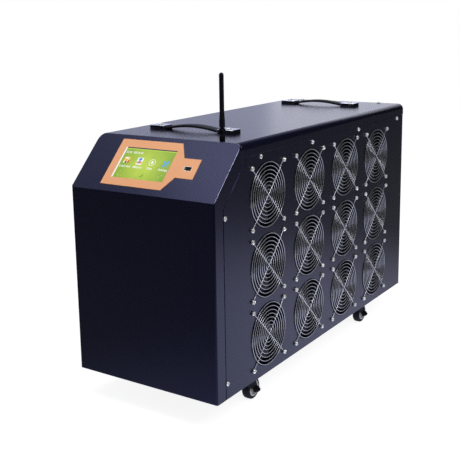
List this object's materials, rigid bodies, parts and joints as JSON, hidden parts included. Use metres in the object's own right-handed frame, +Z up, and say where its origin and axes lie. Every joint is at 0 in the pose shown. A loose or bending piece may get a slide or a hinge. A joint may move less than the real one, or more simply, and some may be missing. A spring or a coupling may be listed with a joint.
{
  "type": "dc load bank",
  "caption": "Free-standing DC load bank: dark sheet-metal case with a sloped touch display, side fans behind wire guards, carrying handles, antenna and swivel casters.",
  "frame": {"origin": "on the floor, under the middle of the bounding box of the whole load bank", "axes": "+Z up, -Y out of the display end, +Y out of the terminal end, +X out of the fan side"},
  "size_m": [0.3104, 0.7986, 0.582],
  "materials": {
    "case_paint": "fine-textured powder coat, satin",
    "overlay_film": "printed polyester film, satin",
    "display_glass": "lit display under glass",
    "nickel": "bright nickel plate",
    "bright_chrome": "polished chrome plate",
    "zinc_steel": "zinc plate",
    "stamped_steel": "bare stamped steel",
    "brass_metal": "turned brass, tarnished",
    "black_rubber": "matt",
    "black_plastic": "fine spark texture",
    "black_gloss": "moulded gloss",
    "red_gloss": "moulded gloss",
    "grey_nylon": "moulded nylon, matt",
    "black_enamel": "stoved enamel, semi-gloss",
    "board_green": "solder mask",
    "copper_bar": "bare copper, dull"
  },
  "bodies": {
    "case": {"base_pan": "case_paint", "front_fascia": "case_paint", "top_cover": "case_paint", "rear_panel": "case_paint", "fan_panel": "case_paint", "vent_panel": "case_paint", "panel_screws": "zinc_steel", "control_overlay": "overlay_film", "touch_screen": "display_glass", "usb_socket": "stamped_steel", "control_board": "board_green", "handle_caps": "bright_chrome", "handle_straps": "black_rubber", "handle_screws": "zinc_steel", "antenna_socket": "brass_metal", "fan_guards": "nickel", "guard_screws": "zinc_steel", "fan_frames": "black_plastic", "caster_plates": "zinc_steel", "caster_screws": "zinc_steel", "positive_terminal_block": "red_gloss", "negative_terminal_block": "black_gloss", "terminal_studs": "brass_metal", "terminal_nuts": "brass_metal", "breaker_body": "black_plastic", "inlet_socket": "black_gloss", "switch_bezel": "black_plastic", "comms_port": "stamped_steel", "resistor_racks": "stamped_steel", "resistor_tubes": "stamped_steel", "contactor": "black_plastic", "busbars": "copper_bar"},
    "rotor_column1_row1": {"fan_rotor_column1_row1": "black_plastic"},
    "rotor_column1_row2": {"fan_rotor_column1_row2": "black_plastic"},
    "rotor_column1_row3": {"fan_rotor_column1_row3": "black_plastic"},
    "rotor_column2_row1": {"fan_rotor_column2_row1": "black_plastic"},
    "rotor_column2_row2": {"fan_rotor_column2_row2": "black_plastic"},
    "rotor_column2_row3": {"fan_rotor_column2_row3": "black_plastic"},
    "rotor_column3_row1": {"fan_rotor_column3_row1": "black_plastic"},
    "rotor_column3_row2": {"fan_rotor_column3_row2": "black_plastic"},
    "rotor_column3_row3": {"fan_rotor_column3_row3": "black_plastic"},
    "rotor_column4_row1": {"fan_rotor_column4_row1": "black_plastic"},
    "rotor_column4_row2": {"fan_rotor_column4_row2": "black_plastic"},
    "rotor_column4_row3": {"fan_rotor_column4_row3": "black_plastic"},
    "fork_front_right": {"caster_fork_front_right": "black_enamel"},
    "wheel_front_right": {"wheel_core_front_right": "grey_nylon", "wheel_tyre_front_right": "black_rubber"},
    "fork_front_left": {"caster_fork_front_left": "black_enamel"},
    "wheel_front_left": {"wheel_core_front_left": "grey_nylon", "wheel_tyre_front_left": "black_rubber"},
    "fork_rear_right": {"caster_fork_rear_right": "black_enamel"},
    "wheel_rear_right": {"wheel_core_rear_right": "grey_nylon", "wheel_tyre_rear_right": "black_rubber"},
    "fork_rear_left": {"caster_fork_rear_left": "black_enamel"},
    "wheel_rear_left": {"wheel_core_rear_left": "grey_nylon", "wheel_tyre_rear_left": "black_rubber"},
    "antenna_base": {"antenna_knuckle": "black_plastic"},
    "antenna_mast": {"antenna_whip": "black_plastic"},
    "lever": {"breaker_lever": "black_gloss"},
    "rocker": {"rocker_switch": "black_gloss"}
  },
  "joints": [
    {"name": "fan_spin_column1_row1", "type": "hinge", "parent": "case", "child": "rotor_column1_row1", "pos_m": [0.1473, -0.23625, 0.1225], "axis": [1, 0, 0], "continuous": true},
    {"name": "fan_spin_column1_row2", "type": "hinge", "parent": "case", "child": "rotor_column1_row2", "pos_m": [0.1473, -0.23625, 0.2475], "axis": [1, 0, 0], "continuous": true},
    {"name": "fan_spin_column1_row3", "type": "hinge", "parent": "case", "child": "rotor_column1_row3", "pos_m": [0.1473, -0.23625, 0.3725], "axis": [1, 0, 0], "continuous": true},
    {"name": "fan_spin_column2_row1", "type": "hinge", "parent": "case", "child": "rotor_column2_row1", "pos_m": [0.1473, -0.08625, 0.1225], "axis": [1, 0, 0], "continuous": true},
    {"name": "fan_spin_column2_row2", "type": "hinge", "parent": "case", "child": "rotor_column2_row2", "pos_m": [0.1473, -0.08625, 0.2475], "axis": [1, 0, 0], "continuous": true},
    {"name": "fan_spin_column2_row3", "type": "hinge", "parent": "case", "child": "rotor_column2_row3", "pos_m": [0.1473, -0.08625, 0.3725], "axis": [1, 0, 0], "continuous": true},
    {"name": "fan_spin_column3_row1", "type": "hinge", "parent": "case", "child": "rotor_column3_row1", "pos_m": [0.1473, 0.06375, 0.1225], "axis": [1, 0, 0], "continuous": true},
    {"name": "fan_spin_column3_row2", "type": "hinge", "parent": "case", "child": "rotor_column3_row2", "pos_m": [0.1473, 0.06375, 0.2475], "axis": [1, 0, 0], "continuous": true},
    {"name": "fan_spin_column3_row3", "type": "hinge", "parent": "case", "child": "rotor_column3_row3", "pos_m": [0.1473, 0.06375, 0.3725], "axis": [1, 0, 0], "continuous": true},
    {"name": "fan_spin_column4_row1", "type": "hinge", "parent": "case", "child": "rotor_column4_row1", "pos_m": [0.1473, 0.21375, 0.1225], "axis": [1, 0, 0], "continuous": true},
    {"name": "fan_spin_column4_row2", "type": "hinge", "parent": "case", "child": "rotor_column4_row2", "pos_m": [0.1473, 0.21375, 0.2475], "axis": [1, 0, 0], "continuous": true},
    {"name": "fan_spin_column4_row3", "type": "hinge", "parent": "case", "child": "rotor_column4_row3", "pos_m": [0.1473, 0.21375, 0.3725], "axis": [1, 0, 0], "continuous": true},
    {"name": "swivel_front_right", "type": "hinge", "parent": "case", "child": "fork_front_right", "pos_m": [0.1208, -0.27125, 0.05], "axis": [0, 0, 1], "continuous": true},
    {"name": "roll_front_right", "type": "hinge", "parent": "fork_front_right", "child": "wheel_front_right", "pos_m": [0.1208, -0.25325, 0.02], "axis": [1, 0, 0], "continuous": true},
    {"name": "swivel_front_left", "type": "hinge", "parent": "case", "child": "fork_front_left", "pos_m": [-0.1232, -0.27125, 0.05], "axis": [0, 0, 1], "continuous": true},
    {"name": "roll_front_left", "type": "hinge", "parent": "fork_front_left", "child": "wheel_front_left", "pos_m": [-0.1232, -0.25325, 0.02], "axis": [1, 0, 0], "continuous": true},
    {"name": "swivel_rear_right", "type": "hinge", "parent": "case", "child": "fork_rear_right", "pos_m": [0.1208, 0.18575, 0.05], "axis": [0, 0, 1], "continuous": true},
    {"name": "roll_rear_right", "type": "hinge", "parent": "fork_rear_right", "child": "wheel_rear_right", "pos_m": [0.1208, 0.20375, 0.02], "axis": [1, 0, 0], "continuous": true},
    {"name": "swivel_rear_left", "type": "hinge", "parent": "case", "child": "fork_rear_left", "pos_m": [-0.1232, 0.18575, 0.05], "axis": [0, 0, 1], "continuous": true},
    {"name": "roll_rear_left", "type": "hinge", "parent": "fork_rear_left", "child": "wheel_rear_left", "pos_m": [-0.1232, 0.20375, 0.02], "axis": [1, 0, 0], "continuous": true},
    {"name": "antenna_swivel", "type": "hinge", "parent": "case", "child": "antenna_base", "pos_m": [0.1024, -0.30325, 0.47], "axis": [0, 0, 1], "continuous": true},
    {"name": "antenna_tilt", "type": "hinge", "parent": "antenna_base", "child": "antenna_mast", "pos_m": [0.1024, -0.30325, 0.487], "axis": [1, 0, 0], "range_deg": [0, 90]},
    {"name": "breaker_throw", "type": "hinge", "parent": "case", "child": "lever", "pos_m": [-0.0662, 0.36075, 0.315], "axis": [1, 0, 0], "range_deg": [0, 60]},
    {"name": "switch_tip", "type": "hinge", "parent": "case", "child": "rocker", "pos_m": [0.0638, 0.35775, 0.353], "axis": [1, 0, 0], "range_deg": [-16, 0]}
  ]
}
